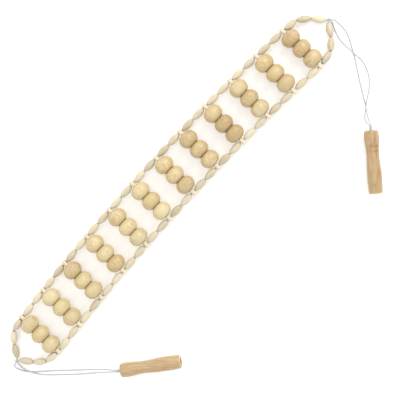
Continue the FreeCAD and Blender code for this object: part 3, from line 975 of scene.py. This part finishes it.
def ring_mark(point):
    """A band of reddish freckles, one row dense and one open, that fades out on the handle's right side."""
    band = max(peak * math.exp(-(((point.x - place) / width) ** 2)) for peak, place, width in RING_BANDS)
    spread = min(1.0, max(0.0, (point.y + 6.5) / 3.5))
    strength = 0.75 + 0.05 * max(0.0, point.y)
    return band * spread * strength


def spot_mark(point):
    """One small brown spot, low on the right side."""
    spot, strength, width = Vector((59, -5.6, 7.2)), 0.8, 2.6
    return strength * math.exp(-(((point - spot).length / width) ** 2))


def add_handle(end, tone, mark):
    name = END_NAMES[end]
    dice = random.Random(f"{name} handle")
    inward = handle_direction(end)
    mouth = joint_place(f"handle_spin_{name}") + inward * (MOUTH_CLEARANCE * MM)
    place = Matrix.Translation(mouth) @ inward.to_track_quat("X", "Z").to_matrix().to_4x4()
    piece = Piece(f"{name}_handle_wood")
    solid = uneven(handle_solid(), dice, HANDLE_UNEVENNESS)
    grain = log_place(dice, HANDLE_PITH)
    tones = handle_tones(solid[0], tone)
    piece.add(solid, place, grain, tones, warmth=HANDLE_WARMTH, soil=handle_painted_shade, mark=mark)
    made = piece.finish(HANDLE_WOOD, "handle_wood")
    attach(made, f"{name}_grip")
    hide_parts(f"{name}_handle")


# ---------------------------------------------------------------- the whole massager

for row, tones in zip(ROWS, ROLLER_TONES_AND_SHADE):
    for side_name, tone in zip(("left", "middle", "right"), tones):
        add_roller(row, side_name, tone)
    add_side_beads(row)
    row_cords = add_row_cords(row)
    if row == LACING_ROW:
        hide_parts("lacing_cord_one", "lacing_cord_two")
    if row < ROW_COUNT:
        add_chain_cords(row)

# the upper handle's lower tone is partly painted shade, darker towards the strip's upper end
for end, tone, mark in ((LOWER, 0.42, spot_mark), (UPPER, 0.24, ring_mark)):
    add_loop_beads(end)
    add_loop_cords(end)
    add_apex_knot(end)
    add_strands(end)
    add_stop_knot(end)
    add_handle(end, tone, mark)


# ---------------------------------------------------------------- studio

STRIP_ANGLE = math.radians(47.5)
CAMERA_TARGET = Vector((0.0202, -0.0354, 0))
CAMERA_DISTANCE = 2.0
# how far the camera leans from straight above towards +X and +Y
CAMERA_LEAN = (math.radians(7.05), math.radians(-2.41))
LENS = 135.6
SENSOR = 36.0
FLOOR_HALF_WIDTH = 12.0
# the floor glows a little, so that it stays white between the rollers
FLOOR_GLOW = 0.13
SKY_STRENGTH = 1.08
WHITE = (1.0, 1.0, 1.0, 1.0)
PICTURE_RIGHT = Vector((math.cos(STRIP_ANGLE), -math.sin(STRIP_ANGLE), 0))
PICTURE_UP = Vector((math.sin(STRIP_ANGLE), math.cos(STRIP_ANGLE), 0))


def add_floor():
    """A pale plain table top, far wider than the object."""
    web = Web("white_table")
    patches = web.noise(web.place("position"), (1.5, 1.5, 1.5))
    web.feed(web.skin.inputs["Base Color"], web.mix(patches, (0.93, 0.925, 0.92), (0.95, 0.95, 0.95)))
    web.skin.inputs["Roughness"].default_value = 0.7
    web.skin.inputs["Specular IOR Level"].default_value = 0.2
    web.skin.inputs["Emission Color"].default_value = WHITE
    web.skin.inputs["Emission Strength"].default_value = FLOOR_GLOW
    half = FLOOR_HALF_WIDTH
    corners = [(-half, -half, 0), (half, -half, 0), (half, half, 0), (-half, half, 0)]
    floor = plain_object("floor", corners, [(0, 1, 2, 3)])
    floor.data.materials.append(web.material)


def add_soft_light(name, right, up, height, size, power):
    """A square soft light aimed at the picture's centre, placed along the picture's own directions."""
    lamp = bpy.data.lights.new(name, "AREA")
    lamp.shape = "SQUARE"
    lamp.size = size
    lamp.energy = power
    made = linked(name, lamp)
    made.location = CAMERA_TARGET + PICTURE_RIGHT * right + PICTURE_UP * up + Vector((0, 0, height))
    made.rotation_euler = (CAMERA_TARGET - made.location).to_track_quat("-Z", "Y").to_euler()


def add_camera():
    """Almost straight above, turned so that the strip runs from the lower left to the upper right."""
    lens = bpy.data.cameras.new("camera")
    lens.sensor_width = SENSOR
    lens.lens = LENS
    lens.clip_end = 50
    made = linked("camera", lens)
    back = Vector((math.sin(CAMERA_LEAN[0]), math.sin(CAMERA_LEAN[1]), 0))
    back.z = math.sqrt(1 - back.length_squared)
    right = PICTURE_UP.cross(back).normalized()
    turn = Matrix((right, back.cross(right), back)).transposed()
    made.matrix_world = Matrix.Translation(CAMERA_TARGET + back * CAMERA_DISTANCE) @ turn.to_4x4()
    bpy.context.scene.camera = made


def add_surroundings():
    world = bpy.data.worlds.new("studio")
    world.use_nodes = True
    world.node_tree.nodes["Background"].inputs["Color"].default_value = WHITE
    world.node_tree.nodes["Background"].inputs["Strength"].default_value = SKY_STRENGTH
    bpy.context.scene.world = world
    bpy.context.scene.view_settings.view_transform = "Standard"
    bpy.context.scene.view_settings.look = "None"


add_floor()
add_soft_light("key", right=0.7, up=1.4, height=1.3, size=0.9, power=20)
add_soft_light("fill", right=-0.9, up=-0.2, height=1.5, size=1.2, power=4)
add_camera()
add_surroundings()
